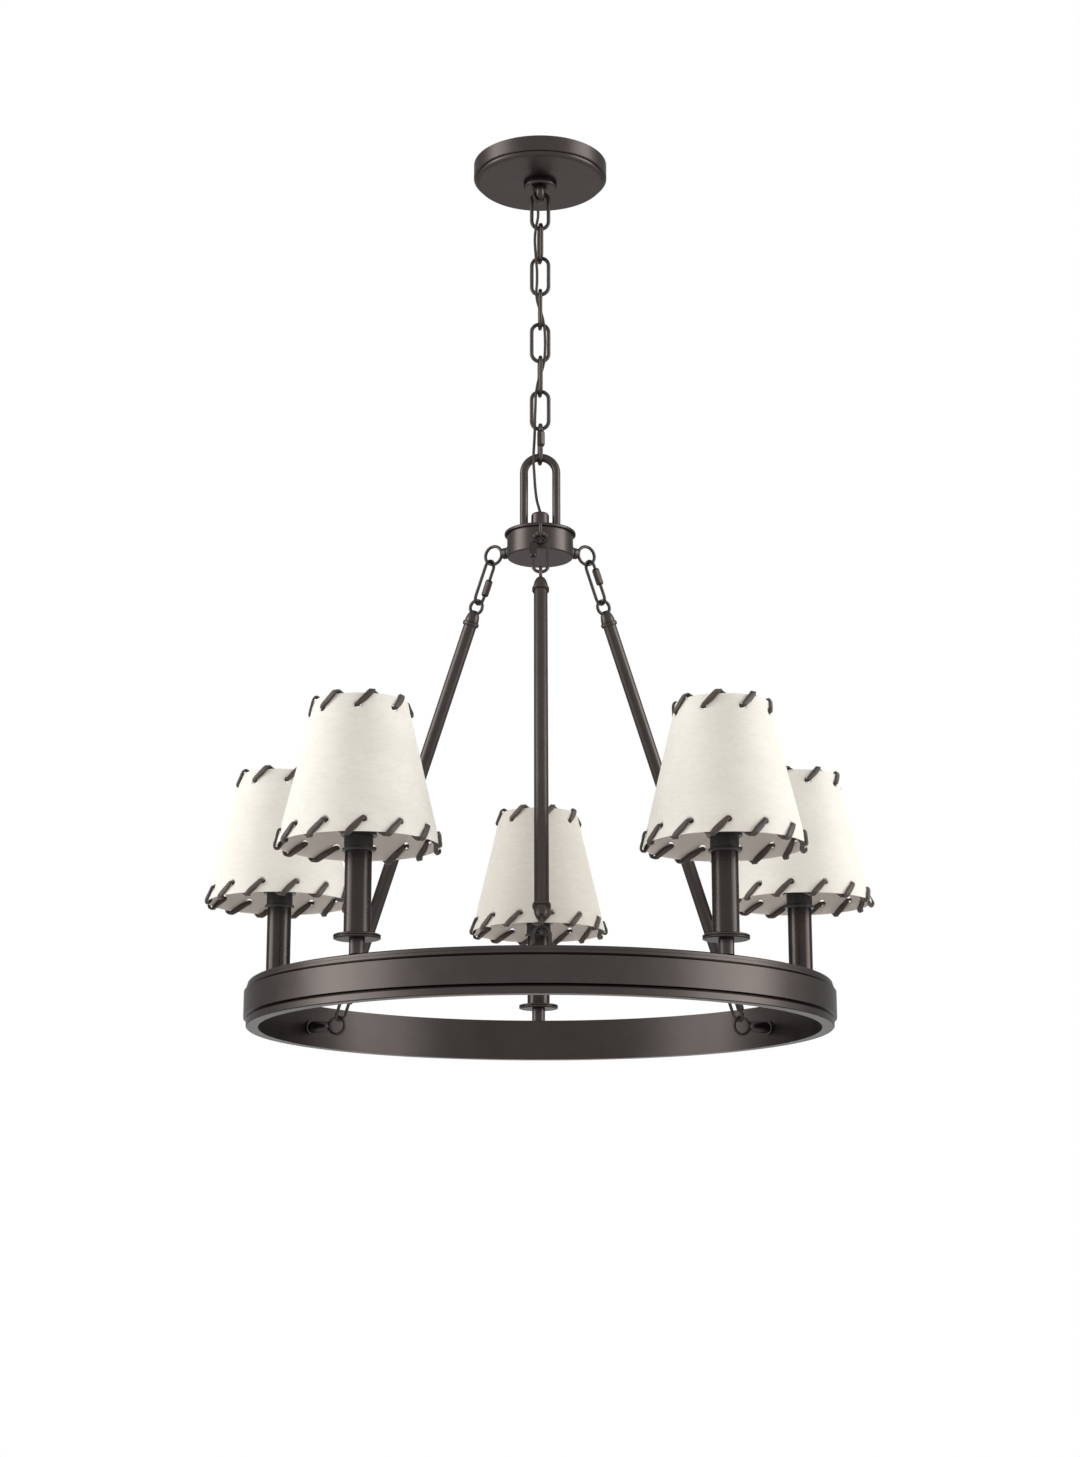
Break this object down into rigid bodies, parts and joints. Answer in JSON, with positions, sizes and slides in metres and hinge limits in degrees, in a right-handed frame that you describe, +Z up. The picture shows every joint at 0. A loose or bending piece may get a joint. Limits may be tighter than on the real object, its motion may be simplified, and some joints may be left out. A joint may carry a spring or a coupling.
{
  "type": "ring chandelier",
  "caption": "Ring chandelier hung by a chain from a round canopy: a flat band on jointed rods, with candle lamps under laced leather cone shades.",
  "frame": {"origin": "on the vertical axis, in the plane of the ceiling, at the middle of the crossbar's upper face", "axes": "+Z up to the ceiling, +X along the crossbar, -Y towards the viewer; one rod of the three stands at -Y and one lamp of the five at +Y"},
  "size_m": [0.6151, 0.5913, 0.829],
  "materials": {
    "bronze": "satin dark bronze",
    "steel": "zinc plated",
    "brass": "plain turned",
    "cord": "brown round cord",
    "fitter": "plated wire",
    "socket": "black phenolic",
    "shade": "off-white, faint wrinkles",
    "lace": "dark brown flat lace"
  },
  "bodies": {
    "ceiling_plate": {"crossbar": "steel", "nipple": "brass", "lock_nut": "brass", "canopy_loop": "bronze", "cord_0": "cord"},
    "canopy": {"canopy": "bronze"},
    "ring_nut": {"ring_nut": "bronze"},
    "link_1": {"link_1": "bronze", "cord_1": "cord"},
    "link_2": {"link_2": "bronze", "cord_2": "cord"},
    "link_3": {"link_3": "bronze", "cord_3": "cord"},
    "link_4": {"link_4": "bronze", "cord_4": "cord"},
    "link_5": {"link_5": "bronze", "cord_5": "cord"},
    "link_6": {"link_6": "bronze", "cord_6": "cord"},
    "link_7": {"link_7": "bronze", "cord_7": "cord"},
    "link_8": {"link_8": "bronze", "cord_8": "cord"},
    "chain_sleeve": {"chain_sleeve": "bronze"},
    "hub": {"stirrup": "bronze", "cord_cap": "bronze", "hub_plate": "bronze", "hub_cup": "bronze", "hub_eyes": "bronze", "cord_9": "cord"},
    "member_1": {"quick_top_1": "bronze", "rod_1": "bronze", "rod_ends_1": "bronze", "quick_low_1": "bronze"},
    "sleeve_top_1": {"sleeve_top_1": "bronze"},
    "sleeve_low_1": {"sleeve_low_1": "bronze"},
    "member_2": {"quick_top_2": "bronze", "rod_2": "bronze", "rod_ends_2": "bronze", "quick_low_2": "bronze"},
    "sleeve_top_2": {"sleeve_top_2": "bronze"},
    "sleeve_low_2": {"sleeve_low_2": "bronze"},
    "member_3": {"quick_top_3": "bronze", "rod_3": "bronze", "rod_ends_3": "bronze", "quick_low_3": "bronze"},
    "sleeve_top_3": {"sleeve_top_3": "bronze"},
    "sleeve_low_3": {"sleeve_low_3": "bronze"},
    "ring": {"ring_band": "bronze", "ring_eyes": "bronze", "lamp_stems": "bronze", "drip_dishes": "bronze", "candle_sleeves": "bronze", "sockets": "socket", "shade_fitters": "fitter", "fitter_hoops": "fitter", "shade_rings": "socket", "shades": "shade", "laces": "lace"}
  },
  "joints": [
    {"name": "canopy_slide", "type": "slide", "parent": "ceiling_plate", "child": "canopy", "axis": [0, 0, -1], "range_m": [0, 0.008]},
    {"name": "ring_nut_slide", "type": "slide", "parent": "ceiling_plate", "child": "ring_nut", "axis": [0, 0, -1], "range_m": [0, 0.008]},
    {"name": "link_1_swing", "type": "hinge", "parent": "ceiling_plate", "child": "link_1", "pos_m": [0, 0, -0.0337], "axis": [0, 1, 0], "range_deg": [-10, 10], "deforming": ["cord_1", "cord_0"]},
    {"name": "link_2_swing", "type": "hinge", "parent": "link_1", "child": "link_2", "pos_m": [0, 0, -0.06505], "axis": [0.9976, 0.0698, 0], "range_deg": [-10, 10], "deforming": ["cord_2"]},
    {"name": "link_3_swing", "type": "hinge", "parent": "link_2", "child": "link_3", "pos_m": [0, 0, -0.0988], "axis": [-0.1564, 0.9877, 0], "range_deg": [-10, 10], "deforming": ["cord_3"]},
    {"name": "link_4_swing", "type": "hinge", "parent": "link_3", "child": "link_4", "pos_m": [0, 0, -0.13255], "axis": [0.9945, -0.1045, 0], "range_deg": [-10, 10], "deforming": ["cord_4"]},
    {"name": "link_5_swing", "type": "hinge", "parent": "link_4", "child": "link_5", "pos_m": [0, 0, -0.1663], "axis": [-0.0349, 0.9994, 0], "range_deg": [-10, 10], "deforming": ["cord_5"]},
    {"name": "link_6_swing", "type": "hinge", "parent": "link_5", "child": "link_6", "pos_m": [0, 0, -0.20005], "axis": [0.9976, 0.0698, 0], "range_deg": [-10, 10], "deforming": ["cord_6"]},
    {"name": "link_7_swing", "type": "hinge", "parent": "link_6", "child": "link_7", "pos_m": [0, 0, -0.2338], "axis": [-0.0872, 0.9962, 0], "range_deg": [-10, 10], "deforming": ["cord_7"]},
    {"name": "link_8_swing", "type": "hinge", "parent": "link_7", "child": "link_8", "pos_m": [0, 0, -0.26755], "axis": [0.9976, -0.0698, 0], "range_deg": [-10, 10], "deforming": ["cord_8"]},
    {"name": "chain_sleeve_slide", "type": "slide", "parent": "link_8", "child": "chain_sleeve", "axis": [0, 0, -1], "range_m": [0, 0.006]},
    {"name": "hub_swing", "type": "hinge", "parent": "link_8", "child": "hub", "pos_m": [0, 0, -0.3013], "axis": [-0.1219, 0.9925, 0], "range_deg": [-10, 10], "deforming": ["cord_9"]},
    {"name": "ring_twist", "type": "hinge", "parent": "hub", "child": "ring", "pos_m": [0, 0, -0.812], "axis": [0, 0, 1], "range_deg": [-8, 8], "stiffness_Nm_per_rad": 0.12},
    {"name": "member_1_swing", "type": "hinge", "parent": "hub", "child": "member_1", "pos_m": [0.04602, 0.02657, -0.39136], "axis": [0.2445, 0.1412, 0.9593], "range_deg": [-6.5, 6.5]},
    {"name": "sleeve_top_1_slide", "type": "slide", "parent": "member_1", "child": "sleeve_top_1", "axis": [0.3127, 0.1805, -0.9325], "range_m": [0, 0.01]},
    {"name": "sleeve_low_1_slide", "type": "slide", "parent": "member_1", "child": "sleeve_low_1", "axis": [-0.3127, -0.1805, 0.9325], "range_m": [0, 0.01]},
    {"name": "member_2_swing", "type": "hinge", "parent": "hub", "child": "member_2", "pos_m": [-0.04602, 0.02657, -0.39136], "axis": [-0.2445, 0.1412, 0.9593], "range_deg": [-6.5, 6.5]},
    {"name": "sleeve_top_2_slide", "type": "slide", "parent": "member_2", "child": "sleeve_top_2", "axis": [0.3127, -0.1805, 0.9325], "range_m": [0, 0.01]},
    {"name": "sleeve_low_2_slide", "type": "slide", "parent": "member_2", "child": "sleeve_low_2", "axis": [-0.3127, 0.1805, -0.9325], "range_m": [0, 0.01]},
    {"name": "member_3_swing", "type": "hinge", "parent": "hub", "child": "member_3", "pos_m": [0, -0.05314, -0.39136], "axis": [0, -0.2824, 0.9593], "range_deg": [-6.5, 6.5]},
    {"name": "sleeve_top_3_slide", "type": "slide", "parent": "member_3", "child": "sleeve_top_3", "axis": [0, -0.3611, -0.9325], "range_m": [0, 0.01]},
    {"name": "sleeve_low_3_slide", "type": "slide", "parent": "member_3", "child": "sleeve_low_3", "axis": [0, 0.3611, 0.9325], "range_m": [0, 0.01]}
  ],
  "couplings": [
    {"joint": "ring_nut_slide", "follows": "canopy_slide", "ratio": 1},
    {"joint": "member_1_swing", "follows": "ring_twist", "ratio": 0.789},
    {"joint": "member_2_swing", "follows": "ring_twist", "ratio": 0.789},
    {"joint": "member_3_swing", "follows": "ring_twist", "ratio": 0.789}
  ]
}
